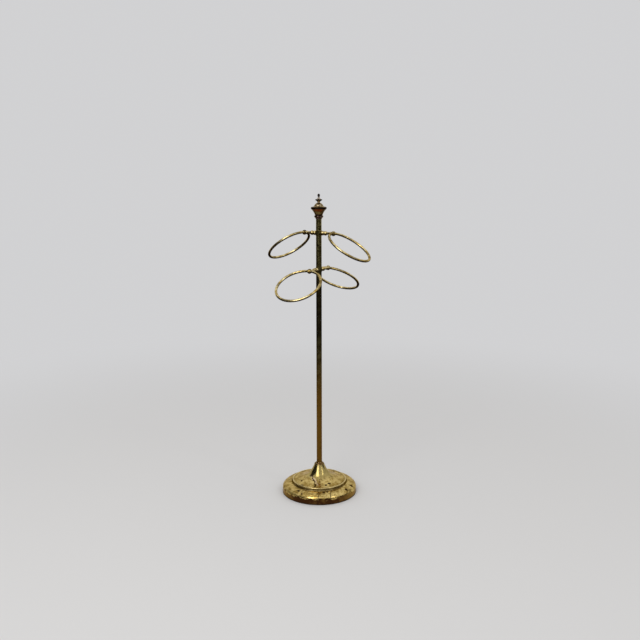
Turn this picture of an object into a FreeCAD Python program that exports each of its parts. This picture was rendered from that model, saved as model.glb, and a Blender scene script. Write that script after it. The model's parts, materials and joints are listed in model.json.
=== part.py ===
import FreeCAD, Part
import Sketcher
import math
import os

# Freestanding towel stand: weighted base, pole, finial and two crossed pairs of arms with rings.
# Millimetres, +Z up. The origin is on the floor under the pole, the upper arms lie along X and the
# lower arms along Y.

SIZES = (
    # alias, value, what it is
    ("base_radius", 114.3, "base, outer radius"),
    ("shell_wall", 1.2, "base shell, sheet thickness"),
    ("shell_lift", 0.8, "base shell, lower edge above the floor"),
    ("edge_roll", 0.5, "base shell, rounding of the lower edge"),
    ("side_top", 14.5, "base shell, top of the side wall"),
    ("side_taper", 0.7, "base shell, how far the side wall leans in"),
    ("shoulder_radius", 107.4, "base shell, inner end of the rounded shoulder"),
    ("shoulder_top", 25.6, "base shell, top of the shoulder"),
    ("shoulder_bulge", 2.1, "base shell, bulge of the shoulder"),
    ("bead_radius", 98.6, "base shell, inner end of the low bead"),
    ("bead_top", 29.4, "base shell, top of the low bead"),
    ("bead_bulge", 1.1, "base shell, bulge of the low bead"),
    ("slope_radius", 86.0, "base shell, inner end of the sloping ring"),
    ("slope_top", 31.8, "base shell, top of the sloping ring"),
    ("riser_foot", 84.4, "base shell, radius at the foot of the stage's riser"),
    ("riser_low", 33.2, "base shell, height at the foot of the riser"),
    ("riser_radius", 83.0, "base shell, radius at the top of the riser"),
    ("riser_top", 38.2, "base shell, top of the riser"),
    ("riser_bulge", 0.35, "base shell, hollow of the riser"),
    ("roll_radius", 79.0, "base shell, inner end of the stage's rolled edge"),
    ("roll_height", 39.4, "base shell, height at that end"),
    ("roll_bulge", 1.85, "base shell, bulge of the rolled edge"),
    ("stage_radius", 42.0, "base shell, where the stage meets the trumpet's foot"),
    ("stage_height", 50.4, "base shell, height of the stage there"),
    ("stage_hollow", 2.2, "base shell, hollow of the stage"),
    ("foot_radius", 27.0, "trumpet neck, upper end of its foot"),
    ("foot_top", 64.2, "trumpet neck, height at that end"),
    ("foot_hollow", 1.1, "trumpet neck, hollow of its foot"),
    ("throat_hollow", 0.82, "trumpet neck, hollow from its foot to its mouth"),
    ("mouth_radius", 15.2, "trumpet neck, radius of its mouth"),
    ("mouth_height", 87.5, "trumpet neck, height of its mouth"),
    ("felt_top", 1.9, "felt pad, thickness"),
    ("weight_top", 10.0, "weight, top of its disc"),
    ("weight_play", 0.1, "weight, gap to the shell's side"),
    ("boss_radius", 20.0, "weight, radius of its boss"),
    ("boss_top", 30.0, "weight, top of its boss"),
    ("recess_radius", 13.0, "weight, radius of the nut's recess"),
    ("recess_top", 11.4, "weight, top of the recess"),
    ("edge_break", 1.0, "weight, chamfer of its top edge"),
    ("spigot_reach", 8.0, "how far each spigot goes into a tube"),
    ("spigot_play", 0.05, "gap between a spigot and a tube's bore"),
    ("pole_radius", 8.3, "pole tubes, outer radius"),
    ("tube_wall", 1.0, "pole tubes, wall"),
    ("rod_radius", 3.0, "tie rod, radius"),
    ("rod_play", 0.15, "gap between the tie rod and its bores"),
    ("rod_low", 3.0, "tie rod, lower end"),
    ("rod_shoulder", 864.0, "tie rod, where its upper stud begins"),
    ("stud_radius", 2.0, "tie rod, radius of the upper stud"),
    ("stud_top", 895.0, "tie rod, upper end"),
    ("stud_play", 0.1, "gap between the stud and the knob"),
    ("washer_radius", 9.0, "washer, outer radius"),
    ("washer_height", 1.5, "washer, thickness"),
    ("nut_flats", 11.0, "nuts, width across the flats"),
    ("nut_height", 5.5, "nuts, height"),
    ("collar_top", 95.2, "neck collar, top"),
    ("collar_rim", 9.0, "neck collar, radius of its top edge"),
    ("collar_bulge", 1.0, "neck collar, bulge of its lip"),
    ("collar_waist", 11.6, "neck collar, radius at the end of its lip"),
    ("collar_waist_height", 91.7, "neck collar, height there"),
    ("collar_hollow", 0.5, "neck collar, hollow between its lip and its top edge"),
    ("collar_spigot", 4.0, "neck collar, depth of its spigot in the mouth"),
    ("upper_height", 800.0, "upper arms, height of their axis"),
    ("lower_height", 692.3, "lower arms, height of their axis"),
    ("hub_radius", 8.9, "hubs, outer radius"),
    ("hub_half", 8.0, "hubs, half of the height between the tubes"),
    ("hub_edge", 0.9, "hubs, rounding of the edges"),
    ("hub_seat", 7.7, "hubs, distance of the arms' seats from the pole's axis"),
    ("seat_radius", 4.5, "hubs, radius of the arms' seats"),
    ("screw_radius", 2.4, "arms, radius of the screwed end"),
    ("screw_play", 0.05, "gap round the screwed end"),
    ("screw_tip", 3.9, "arms, distance of the screwed end's tip from the pole's axis"),
    ("shoulder_end", 9.3, "arms, end of the shoulder on the hub"),
    ("shoulder_round", 4.4, "arms, radius of that shoulder"),
    ("vase_start", 9.8, "arms, start of the vase"),
    ("vase_root", 5.4, "arms, radius of the vase at its start"),
    ("vase_end", 17.0, "arms, end of the vase"),
    ("vase_tip", 5.0, "arms, radius of the vase at its end"),
    ("vase_bulge", 1.5, "arms, bulge of the vase"),
    ("bead_start", 18.0, "arms, start of the small bead"),
    ("bead_end", 27.8, "arms, end of the small bead"),
    ("bead_foot", 4.6, "arms, radius at the ends of the small bead"),
    ("bead_swell", 2.0, "arms, bulge of the small bead"),
    ("waist_start", 28.4, "arms, start of the waist"),
    ("waist_round", 4.2, "arms, radius at the ends of the waist"),
    ("waist_hollow", 0.4, "arms, hollow of the waist"),
    ("cuff_start", 40.4, "arms, start of the cuff at the ball"),
    ("cuff_end", 43.0, "arms, end of the cuff"),
    ("cuff_foot", 4.3, "arms, radius at the ends of the cuff"),
    ("cuff_swell", 0.9, "arms, bulge of the cuff"),
    ("reach", 50.35, "arms, distance of the ball's centre from the pole's axis"),
    ("ball_radius", 7.2, "arms, radius of the ball"),
    ("button_neck", 2.4, "arms, radius where the end button leaves the ball"),
    ("button_radius", 3.1, "arms, radius of the end button"),
    ("button_lip", 0.5, "arms, length of the button's neck"),
    ("ball_flat", 6.05, "arms, distance of the ball's two flats from its centre"),
    ("socket_radius", 2.05, "arms, radius of the two sockets in the ball"),
    ("socket_end", 2.2, "arms, distance of a socket's floor from the ball's centre"),
    ("ring_radius", 66.7, "rings, radius of the rod's centre line"),
    ("ring_rod", 3.75, "rings, radius of the rod"),
    ("ring_gap", 6.1, "rings, distance of each end from the ball's centre"),
    ("pin_radius", 2.0, "rings, radius of the pins"),
    ("pin_tip", 2.4, "rings, distance of a pin's tip from the ball's centre"),
    ("pin_root", 0.6, "rings, how far a pin is rooted in the rod"),
    ("turned_low", 840.5, "finial collar, lower edge, on the upper tube"),
    ("turned_foot", 8.9, "finial collar, radius of its lower edge"),
    ("flare_radius", 11.3, "finial collar, radius under its bead"),
    ("flare_top", 845.0, "finial collar, height under its bead"),
    ("flare_hollow", 0.4, "finial collar, hollow of its flare"),
    ("ringlet_top", 851.2, "finial collar, height above its bead"),
    ("ringlet_bulge", 2.1, "finial collar, bulge of its bead"),
    ("cup_low", 853.6, "finial cup, lower face"),
    ("cup_neck", 11.6, "finial cup, radius of its lower face"),
    ("cup_floor", 3.0, "finial cup, thickness of its floor"),
    ("cup_wall", 1.5, "finial cup, wall"),
    ("cup_throat", 21.2, "finial cup, radius under its rim"),
    ("cup_throat_height", 868.6, "finial cup, height under its rim"),
    ("cup_hollow", 1.0, "finial cup, hollow of its side"),
    ("rim_low_radius", 22.3, "finial cup, radius of the rim's lower edge"),
    ("rim_low", 869.9, "finial cup, height of the rim's lower edge"),
    ("rim_top", 875.2, "finial cup, top of its rim"),
    ("rim_bulge", 1.0, "finial cup, bulge of its rim"),
    ("rim_inner", 18.4, "finial cup, radius of the mouth"),
    ("lid_edge", 20.6, "finial dome, outer radius"),
    ("lid_edge_height", 0.9, "finial dome, thickness of its edge"),
    ("dome_radius", 13.9, "finial dome, radius at the dome's foot"),
    ("dome_foot", 878.4, "finial dome, height of the dome's foot"),
    ("lid_hollow", 0.6, "finial dome, hollow of the slope round the dome"),
    ("dome_top", 888.0, "finial dome, top"),
    ("dome_top_radius", 4.6, "finial dome, radius of its top face"),
    ("dome_bulge", 1.3, "finial dome, bulge"),
    ("dome_wall", 1.4, "finial dome, wall"),
    ("knob_foot", 4.0, "finial knob, radius of its foot"),
    ("knob_cone", 3.5, "finial knob, radius at the foot of its cone"),
    ("knob_cone_low", 889.6, "finial knob, height there"),
    ("disc_radius", 9.6, "finial knob, radius of its disc"),
    ("disc_low", 895.0, "finial knob, lower edge of its disc"),
    ("disc_top", 897.5, "finial knob, upper edge of its disc"),
    ("disc_hollow", 0.5, "finial knob, hollow under its disc"),
    ("disc_round", 0.4, "finial knob, bulge of the disc's edge"),
    ("neck_hollow", 1.2, "finial knob, hollow over its disc"),
    ("knob_neck", 2.4, "finial knob, radius of its neck"),
    ("knob_neck_low", 903.6, "finial knob, lower end of its neck"),
    ("knob_neck_top", 904.6, "finial knob, upper end of its neck"),
    ("knob_ball", 3.5, "finial knob, radius of its ball"),
    ("knob_swell", 0.6, "finial knob, bulge of the ball's lower half"),
    ("stand_height", 914.0, "whole stand, height"),
)

# The arms: heading of the arm, and which pair it is in. Each ring's tilt is from hanging straight
# down, and an arm's roll is how far it is screwed past level.
ARMS = (
    # name, heading, pair, roll, tilt of the ring
    ("upper_right", 0.0, "upper", -3.2, 56.8),
    ("lower_rear", 90.0, "lower", 0.5, 55.2),
    ("upper_left", 180.0, "upper", 6.5, 52.8),
    ("lower_front", 270.0, "lower", -1.9, 57.8),
)
LOWER_TURN = 90.0
QUARTER_BULGE = 1 - math.sqrt(0.5)  # a quarter circle's bulge over its radius

X_AXIS = FreeCAD.Vector(1, 0, 0)
Y_AXIS = FreeCAD.Vector(0, 1, 0)
Z_AXIS = FreeCAD.Vector(0, 0, 1)

doc = FreeCAD.newDocument("TowelStand")
sheet = doc.addObject("Spreadsheet::Sheet", "Sizes")
parts = []


class Size:
    """A length with the sheet expression that gives it."""

    def __init__(self, value, text):
        self.value = value
        self.text = text

    def joined(self, sign, other, value):
        return Size(value, f"({self.text} {sign} {other.text})")

    def __add__(self, other):
        other = as_size(other)
        return self.joined("+", other, self.value + other.value)

    def __sub__(self, other):
        other = as_size(other)
        return self.joined("-", other, self.value - other.value)

    def __mul__(self, other):
        other = as_size(other)
        return self.joined("*", other, self.value * other.value)

    def __truediv__(self, other):
        other = as_size(other)
        return self.joined("/", other, self.value / other.value)

    def __neg__(self):
        return Size(-self.value, f"(-1 * {self.text})")


def as_size(value):
    return value if isinstance(value, Size) else Size(float(value), repr(float(value)))


def root(square):
    return Size(math.sqrt(square.value), f"sqrt({square.text})")


def fill_sheet():
    for row, (alias, value, meaning) in enumerate(SIZES, start=1):
        sheet.set(f"A{row}", meaning)
        sheet.set(f"B{row}", str(value))
        sheet.setAlias(f"B{row}", alias)
    doc.recompute()
    return {alias: Size(float(value), f"Sizes.{alias}") for alias, value, _ in SIZES}


def new_body(name):
    body = doc.addObject("PartDesign::Body", name)
    body.Label = name
    parts.append(body)
    return body


def new_sketch(body, name, plane, offset=None):
    """A sketch on one of the body's origin planes, moved along its axes by offset (x, y, normal)."""
    sketch = body.newObject("Sketcher::SketchObject", f"{body.Name}_{name}")
    support = next(f for f in body.Origin.OriginFeatures if f.Role == plane)
    sketch.AttachmentSupport = [(support, "")]
    sketch.MapMode = "FlatFace"
    for axis, distance in zip("xyz", offset or ()):
        sketch.setExpression(f"AttachmentOffset.Base.{axis}", as_size(distance).text)
    return sketch


def bind(sketch, constraint, size):
    """Adds a dimension and ties it to the sheet."""
    index = sketch.addConstraint(constraint)
    sketch.setExpression(f"Constraints[{index}]", size.text)


def fix_point(sketch, geometry, end, x, y):
    """Holds one end of a line or an arc, or a circle's centre, at x and y."""
    for kind, size, axis in (("DistanceX", as_size(x), -2), ("DistanceY", as_size(y), -1)):
        if abs(size.value) < 1e-9:
            sketch.addConstraint(Sketcher.Constraint("PointOnObject", geometry, end, axis))
        else:
            bind(sketch, Sketcher.Constraint(kind, -1, 1, geometry, end, size.value), size)


def circle(sketch, x, y, radius):
    x, y, radius = as_size(x), as_size(y), as_size(radius)
    centre = FreeCAD.Vector(x.value, y.value, 0)
    index = sketch.addGeometry(Part.Circle(centre, Z_AXIS, radius.value))
    bind(sketch, Sketcher.Constraint("Radius", index, radius.value), radius)
    fix_point(sketch, index, 3, x, y)


def outline(sketch, corners):
    """A closed profile through corners, each (x, y) or (x, y, bulge of the arc that leads to it).

    A bulge is positive to the left of the way that the profile runs.
    """
    corners = [tuple(as_size(size) for size in corner) for corner in corners]
    runs = []
    for start, end in zip(corners, corners[1:] + corners[:1]):
        first = FreeCAD.Vector(start[0].value, start[1].value, 0)
        last = FreeCAD.Vector(end[0].value, end[1].value, 0)
        if len(end) == 2:
            index = sketch.addGeometry(Part.LineSegment(first, last))
            runs.append((index, 1, 2))
            continue
        bulge = end[2]
        chord = last - first
        left = FreeCAD.Vector(-chord.y, chord.x, 0).normalize()
        middle = first + chord * 0.5 + left * bulge.value
        if bulge.value > 0:
            index = sketch.addGeometry(Part.Arc(last, middle, first))
            runs.append((index, 2, 1))
        else:
            index = sketch.addGeometry(Part.Arc(first, middle, last))
            runs.append((index, 1, 2))
        across = end[0] - start[0]
        along = end[1] - start[1]
        depth = bulge if bulge.value > 0 else -bulge
        radius = ((across * across + along * along) / 4 + depth * depth) / (depth * 2)
        bind(sketch, Sketcher.Constraint("Radius", index, radius.value), radius)
    for run, after, corner in zip(runs, runs[1:] + runs[:1], corners[1:] + corners[:1]):
        sketch.addConstraint(Sketcher.Constraint("Coincident", run[0], run[2], after[0], after[1]))
        fix_point(sketch, run[0], run[2], corner[0], corner[1])


def revolve(body, name, corners, axis="V_Axis", plane="XZ_Plane"):
    """Turns a closed profile round one of its sketch's axes."""
    sketch = new_sketch(body, f"{name}_sketch", plane)
    outline(sketch, corners)
    turned = body.newObject("PartDesign::Revolution", f"{body.Name}_{name}")
    turned.Profile = sketch
    turned.ReferenceAxis = (sketch, [axis])
    turned.Angle = 360
    return turned


def feature(body, kind, name, sketch, length, symmetric=False):
    """A pad or pocket of the sketch, as long as length."""
    made = body.newObject(f"PartDesign::{kind}", f"{body.Name}_{name}")
    made.Profile = sketch
    made.setExpression("Length", as_size(length).text)
    made.Midplane = symmetric
    return made


def mirror(body, name, features, plane):
    """Repeats features on the other side of one of the body's origin planes."""
    made = body.newObject("PartDesign::Mirrored", f"{body.Name}_{name}")
    made.Originals = features
    support = next(f for f in body.Origin.OriginFeatures if f.Role == plane)
    made.MirrorPlane = (support, [""])
    body.Tip = made
    return made


def cut_volume(body, before):
    """Recomputes and stops if the last feature of the body cut nothing."""
    doc.recompute()
    if body.Shape.Volume > before - 1e-6:
        raise RuntimeError(f"{body.Label}: {body.Tip.Label} cuts nothing")
    return body.Shape.Volume


def chord_length(start, end):
    return math.dist((start[0].value, start[1].value), (end[0].value, end[1].value))


def arc_radius(start, end):
    half = chord_length(start, end) / 2
    depth = abs(end[2].value)
    return (half * half + depth * depth) / (2 * depth)


def lean(start, end):
    """Angle from the chord to the tangent where the run that leads to end begins."""
    return 2 * math.atan2(2 * end[2].value, chord_length(start, end)) if len(end) == 3 else 0.0


def inset(corners, wall):
    """An open profile moved by wall to the left of travel. Its tightest arcs become straight."""
    path = [tuple(as_size(size) for size in corners[0])]
    for corner in corners[1:]:
        end = tuple(as_size(size) for size in corner)
        tight = len(end) == 3 and arc_radius(path[-1], end) < 3 * wall.value
        path.append(end[:2] if tight else end)
    runs = list(zip(path, path[1:]))
    chords = [
        math.atan2(end[1].value - start[1].value, end[0].value - start[0].value) for start, end in runs
    ]
    leaving = [chord + lean(*run) for chord, run in zip(chords, runs)]
    arriving = [chord - lean(*run) for chord, run in zip(chords, runs)]
    moved = []
    for corner, before, after in zip(path, leaving[:1] + arriving, leaving + arriving[-1:]):
        reach = wall.value / math.cos((after - before) / 2)
        heading = (before + after + math.pi) / 2
        across = round(reach * math.cos(heading), 4)
        along = round(reach * math.sin(heading), 4)
        moved.append((corner[0] + across, corner[1] + along))
    for index, (start, end) in enumerate(runs, start=1):
        if len(end) == 3:
            side = math.copysign(1, end[2].value)
            radius = arc_radius(start, end) + side * wall.value
            half = chord_length(moved[index - 1], moved[index]) / 2
            depth = radius - math.sqrt(radius * radius - half * half)
            moved[index] += (as_size(round(side * depth, 4)),)
    return moved


def backward(corners):
    """The same open profile, travelled from its last corner to its first."""
    turned = [corners[-1][:2]]
    for here, reached in zip(corners[-2::-1], corners[:0:-1]):
        turned.append((*here[:2], -reached[2]) if len(reached) == 3 else here[:2])
    return turned


def base_shell(s):
    """Spun cover in one sheet: side wall, shoulder, bead, slope, stage and trumpet neck."""
    body = new_body("base_shell")
    outside = (
        (s["base_radius"], s["shell_lift"] + s["edge_roll"]),
        (s["base_radius"] - s["side_taper"], s["side_top"]),
        (s["shoulder_radius"], s["shoulder_top"], -s["shoulder_bulge"]),
        (s["bead_radius"], s["bead_top"], -s["bead_bulge"]),
        (s["slope_radius"], s["slope_top"]),
        (s["riser_foot"], s["riser_low"]),
        (s["riser_radius"], s["riser_top"], s["riser_bulge"]),
        (s["roll_radius"], s["roll_height"], -s["roll_bulge"]),
        (s["stage_radius"], s["stage_height"], s["stage_hollow"]),
        (s["foot_radius"], s["foot_top"], s["foot_hollow"]),
        (s["mouth_radius"], s["mouth_height"], s["throat_hollow"]),
    )
    inside = inset(outside, s["shell_wall"])
    mouth = (s["mouth_radius"] - s["shell_wall"], s["mouth_height"], *inside[-1][2:])
    edge = (
        (s["base_radius"] - s["shell_wall"], s["shell_lift"]),
        (s["base_radius"] - s["edge_roll"], s["shell_lift"]),
        (s["base_radius"], s["shell_lift"] + s["edge_roll"], -s["edge_roll"] * QUARTER_BULGE),
    )
    revolve(body, "form", edge + outside[1:] + tuple(backward(inside[1:-1] + [mouth])))


def felt_pad(s):
    body = new_body("felt_pad")
    inside = s["base_radius"] - s["side_taper"] - s["shell_wall"] - s["weight_play"]
    sketch = new_sketch(body, "disc_sketch", "XY_Plane")
    circle(sketch, 0, 0, inside)
    feature(body, "Pad", "disc", sketch, s["felt_top"])


def base_weight(s):
    """Iron disc with a boss. The lower tube stands on the boss, round a spigot."""
    body = new_body("base_weight")
    outside = s["base_radius"] - s["side_taper"] - s["shell_wall"] - s["weight_play"]
    bore = s["rod_radius"] + s["rod_play"]
    spigot = s["pole_radius"] - s["tube_wall"] - s["spigot_play"]
    revolve(
        body,
        "casting",
        (
            (s["recess_radius"], s["felt_top"]),
            (outside, s["felt_top"]),
            (outside, s["weight_top"] - s["edge_break"]),
            (outside - s["edge_break"], s["weight_top"]),
            (s["boss_radius"], s["weight_top"]),
            (s["boss_radius"], s["boss_top"] - s["edge_break"]),
            (s["boss_radius"] - s["edge_break"], s["boss_top"]),
            (spigot, s["boss_top"]),
            (spigot, s["boss_top"] + s["spigot_reach"]),
            (bore, s["boss_top"] + s["spigot_reach"]),
            (bore, s["recess_top"]),
            (s["recess_radius"], s["recess_top"]),
        ),
    )


def washer(s):
    body = new_body("base_washer")
    sketch = new_sketch(
        body, "ring_sketch", "XY_Plane", (0, 0, s["recess_top"] - s["washer_height"])
    )
    circle(sketch, 0, 0, s["washer_radius"])
    circle(sketch, 0, 0, s["rod_radius"] + s["rod_play"])
    feature(body, "Pad", "ring", sketch, s["washer_height"])


def nut(s, name, low):
    """Hexagon nut whose lower face is at low."""
    body = new_body(name)
    sketch = new_sketch(body, "hexagon_sketch", "XY_Plane", (0, 0, low))
    flat = s["nut_flats"] / 2
    corner = s["nut_flats"] / math.sqrt(3)
    outline(
        sketch,
        (
            (corner, 0),
            (corner / 2, flat),
            (-(corner / 2), flat),
            (-corner, 0),
            (-(corner / 2), -flat),
            (corner / 2, -flat),
        ),
    )
    circle(sketch, 0, 0, s["rod_radius"] + s["screw_play"])
    feature(body, "Pad", "hexagon", sketch, s["nut_height"])


def tie_rod(s):
    body = new_body("tie_rod")
    revolve(
        body,
        "rod",
        (
            (0, s["rod_low"]),
            (s["rod_radius"], s["rod_low"]),
            (s["rod_radius"], s["rod_shoulder"]),
            (s["stud_radius"], s["rod_shoulder"]),
            (s["stud_radius"], s["stud_top"]),
            (0, s["stud_top"]),
        ),
    )


def neck_collar(s):
    """Turned ring that closes the trumpet's mouth round the pole."""
    body = new_body("neck_collar")
    bore = s["pole_radius"] + s["spigot_play"]
    spigot = s["mouth_radius"] - s["shell_wall"] * 1.5
    revolve(
        body,
        "turning",
        (
            (bore, s["mouth_height"] - s["collar_spigot"]),
            (spigot, s["mouth_height"] - s["collar_spigot"]),
            (spigot, s["mouth_height"]),
            (s["mouth_radius"], s["mouth_height"]),
            (s["collar_waist"], s["collar_waist_height"], -s["collar_bulge"]),
            (s["collar_rim"], s["collar_top"], s["collar_hollow"]),
            (bore, s["collar_top"]),
        ),
    )


def tube(s, name, low, high):
    body = new_body(name)
    sketch = new_sketch(body, "section_sketch", "XY_Plane", (0, 0, low))
    circle(sketch, 0, 0, s["pole_radius"])
    circle(sketch, 0, 0, s["pole_radius"] - s["tube_wall"])
    feature(body, "Pad", "length", sketch, high - low)


def hub(s, name, height, turn):
    """Turned hub between two tubes, with a seat and a hole for an arm on each side."""
    body = new_body(name)
    bore = s["rod_radius"] + s["rod_play"]
    spigot = s["pole_radius"] - s["tube_wall"] - s["spigot_play"]
    end = s["hub_half"] + s["spigot_reach"]
    edge_bulge = s["hub_edge"] * QUARTER_BULGE
    revolve(
        body,
        "turning",
        (
            (bore, -end),
            (spigot, -end),
            (spigot, -s["hub_half"]),
            (s["hub_radius"] - s["hub_edge"], -s["hub_half"]),
            (s["hub_radius"], s["hub_edge"] - s["hub_half"], -edge_bulge),
            (s["hub_radius"], s["hub_half"] - s["hub_edge"]),
            (s["hub_radius"] - s["hub_edge"], s["hub_half"], -edge_bulge),
            (spigot, s["hub_half"]),
            (spigot, end),
            (bore, end),
        ),
    )
    doc.recompute()
    volume = body.Shape.Volume
    seat_sketch = new_sketch(body, "seat_sketch", "YZ_Plane", (0, 0, s["hub_seat"]))
    circle(seat_sketch, 0, 0, s["seat_radius"])
    seat = feature(body, "Pocket", "seat", seat_sketch, s["hub_radius"])
    seat.Reversed = True
    volume = cut_volume(body, volume)
    hole_sketch = new_sketch(body, "hole_sketch", "YZ_Plane", (0, 0, s["rod_radius"] / 2))
    circle(hole_sketch, 0, 0, s["screw_radius"] + s["screw_play"])
    hole = feature(body, "Pocket", "hole", hole_sketch, s["hub_radius"])
    hole.Reversed = True
    volume = cut_volume(body, volume)
    mirror(body, "other_side", [seat, hole], "YZ_Plane")
    cut_volume(body, volume)
    place(body, FreeCAD.Vector(0, 0, height.value), FreeCAD.Rotation(Z_AXIS, turn))


def arm(s, name):
    """Turned arm along +X: screwed end, vase, bead, waist, and a ball with two sockets."""
    body = new_body(name)
    ball_start = s["reach"] - half_chord(s["ball_radius"], s["cuff_foot"])
    ball_end = s["reach"] + half_chord(s["ball_radius"], s["button_neck"])
    button_start = ball_end + s["button_lip"]
    revolve(
        body,
        "turning",
        (
            (s["screw_tip"], 0),
            (s["screw_tip"], s["screw_radius"]),
            (s["hub_seat"], s["screw_radius"]),
            (s["hub_seat"], s["shoulder_round"]),
            (s["shoulder_end"], s["shoulder_round"]),
            (s["vase_start"], s["vase_root"]),
            (s["vase_end"], s["vase_tip"], s["vase_bulge"]),
            (s["bead_start"], s["bead_foot"]),
            (s["bead_end"], s["bead_foot"], s["bead_swell"]),
            (s["waist_start"], s["waist_round"]),
            (s["cuff_start"], s["waist_round"], -s["waist_hollow"]),
            (s["cuff_start"], s["cuff_foot"]),
            (s["cuff_end"], s["cuff_foot"], s["cuff_swell"]),
            (ball_start, s["cuff_foot"]),
            (s["reach"], s["ball_radius"], quarter_bulge(s, s["cuff_foot"])),
            (ball_end, s["button_neck"], quarter_bulge(s, s["button_neck"])),
            (button_start, s["button_radius"]),
            (button_start + s["button_radius"], 0, s["button_radius"] * QUARTER_BULGE),
        ),
        axis="H_Axis",
    )
    doc.recompute()
    volume = body.Shape.Volume
    flat_sketch = new_sketch(body, "flat_sketch", "XZ_Plane", (0, 0, s["ball_flat"]))
    circle(flat_sketch, s["reach"], 0, s["ball_radius"])
    flat = feature(body, "Pocket", "flat", flat_sketch, s["ball_radius"])
    flat.Reversed = True
    volume = cut_volume(body, volume)
    socket_sketch = new_sketch(body, "socket_sketch", "XZ_Plane", (0, 0, s["socket_end"]))
    circle(socket_sketch, s["reach"], 0, s["socket_radius"])
    socket = feature(body, "Pocket", "socket", socket_sketch, s["ball_radius"])
    socket.Reversed = True
    volume = cut_volume(body, volume)
    mirror(body, "other_side", [flat, socket], "XZ_Plane")
    cut_volume(body, volume)
    return body


def half_chord(radius, height):
    """How far from a ball's centre, along an axis, its surface is at height from that axis."""
    return root(radius * radius - height * height)


def quarter_bulge(s, height):
    """The bulge of the arc on the ball from its widest place to where it is height from the axis."""
    rise = s["ball_radius"] - height
    across = half_chord(s["ball_radius"], height)
    chord = root(rise * rise + across * across)
    return s["ball_radius"] - half_chord(s["ball_radius"], chord / 2)


def ring(s, name):
    """Open ring that hangs from the origin in the YZ plane, with a pin on each end along Y."""
    body = new_body(name)
    drop = root(s["ring_radius"] * s["ring_radius"] - s["ring_gap"] * s["ring_gap"])
    section = new_sketch(body, "section_sketch", "XZ_Plane", (0, -drop, 0))
    circle(section, 0, -s["ring_radius"], s["ring_rod"])
    hoop = body.newObject("PartDesign::Revolution", f"{name}_hoop")
    hoop.Profile = section
    hoop.ReferenceAxis = (section, ["H_Axis"])
    hoop.Angle = 360
    doc.recompute()
    volume = body.Shape.Volume
    opening = new_sketch(body, "opening_sketch", "XZ_Plane")
    reach = s["ring_rod"] * 2
    outline(opening, ((-reach, -reach), (reach, -reach), (reach, reach), (-reach, reach)))
    feature(body, "Pocket", "opening", opening, s["ring_gap"] * 2, symmetric=True)
    cut_volume(body, volume)
    pin_sketch = new_sketch(body, "pin_sketch", "XZ_Plane", (0, 0, s["pin_tip"]))
    circle(pin_sketch, 0, 0, s["pin_radius"])
    pin = feature(
        body, "Pad", "pin", pin_sketch, s["ring_gap"] - s["pin_tip"] + s["pin_root"]
    )
    mirror(body, "other_pin", [pin], "XZ_Plane")
    return body


def place(body, base, rotation):
    body.Placement = FreeCAD.Placement(base, rotation)


def arm_and_ring(s, name, heading, pair, roll, tilt):
    """One arm, turned to its heading and screwed in to its roll, and the ring in its ball."""
    height = FreeCAD.Vector(0, 0, s[f"{pair}_height"].value)
    turn = FreeCAD.Rotation(Z_AXIS, heading) * FreeCAD.Rotation(X_AXIS, roll)
    place(arm(s, f"{name}_arm"), height, turn)
    ball = height + turn * FreeCAD.Vector(s["reach"].value, 0, 0)
    place(ring(s, f"{name}_ring"), ball, turn * FreeCAD.Rotation(Y_AXIS, -tilt))


def finial_collar(s):
    """Turned collar on the upper tube, round a spigot."""
    body = new_body("finial_collar")
    bore = s["rod_radius"] + s["rod_play"]
    spigot = s["pole_radius"] - s["tube_wall"] - s["spigot_play"]
    revolve(
        body,
        "turning",
        (
            (bore, s["turned_low"] - s["spigot_reach"]),
            (spigot, s["turned_low"] - s["spigot_reach"]),
            (spigot, s["turned_low"]),
            (s["turned_foot"], s["turned_low"]),
            (s["flare_radius"], s["flare_top"], s["flare_hollow"]),
            (s["flare_radius"], s["ringlet_top"], -s["ringlet_bulge"]),
            (s["cup_neck"], s["cup_low"]),
            (bore, s["cup_low"]),
        ),
    )


def finial_cup(s):
    """Flared cup with a rolled rim. The nut that clamps the stack sits on its floor."""
    body = new_body("finial_cup")
    bore = s["rod_radius"] + s["rod_play"]
    floor_top = s["cup_low"] + s["cup_floor"]
    revolve(
        body,
        "turning",
        (
            (bore, s["cup_low"]),
            (s["cup_neck"], s["cup_low"]),
            (s["cup_throat"], s["cup_throat_height"], s["cup_hollow"]),
            (s["rim_low_radius"], s["rim_low"]),
            (s["rim_low_radius"], s["rim_top"], -s["rim_bulge"]),
            (s["rim_inner"], s["rim_top"]),
            (s["rim_inner"] - s["cup_wall"], s["rim_low"]),
            (s["cup_neck"] - s["cup_wall"], floor_top, -s["cup_hollow"]),
            (bore, floor_top),
        ),
    )


def finial_dome(s):
    """Thin domed lid on the cup's rim, clamped by the knob."""
    body = new_body("finial_dome")
    bore = s["stud_radius"] + s["stud_play"]
    inner_top = s["dome_top"] - s["dome_wall"]
    inner_foot = s["dome_radius"] - s["dome_wall"]
    revolve(
        body,
        "spinning",
        (
            (inner_foot, s["rim_top"]),
            (s["lid_edge"], s["rim_top"]),
            (s["lid_edge"], s["rim_top"] + s["lid_edge_height"]),
            (s["dome_radius"], s["dome_foot"], s["lid_hollow"]),
            (s["dome_top_radius"], s["dome_top"], -s["dome_bulge"]),
            (bore, s["dome_top"]),
            (bore, inner_top),
            (s["dome_top_radius"] - s["dome_wall"] / 2, inner_top),
            (inner_foot, s["dome_foot"], s["dome_bulge"]),
        ),
    )


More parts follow.
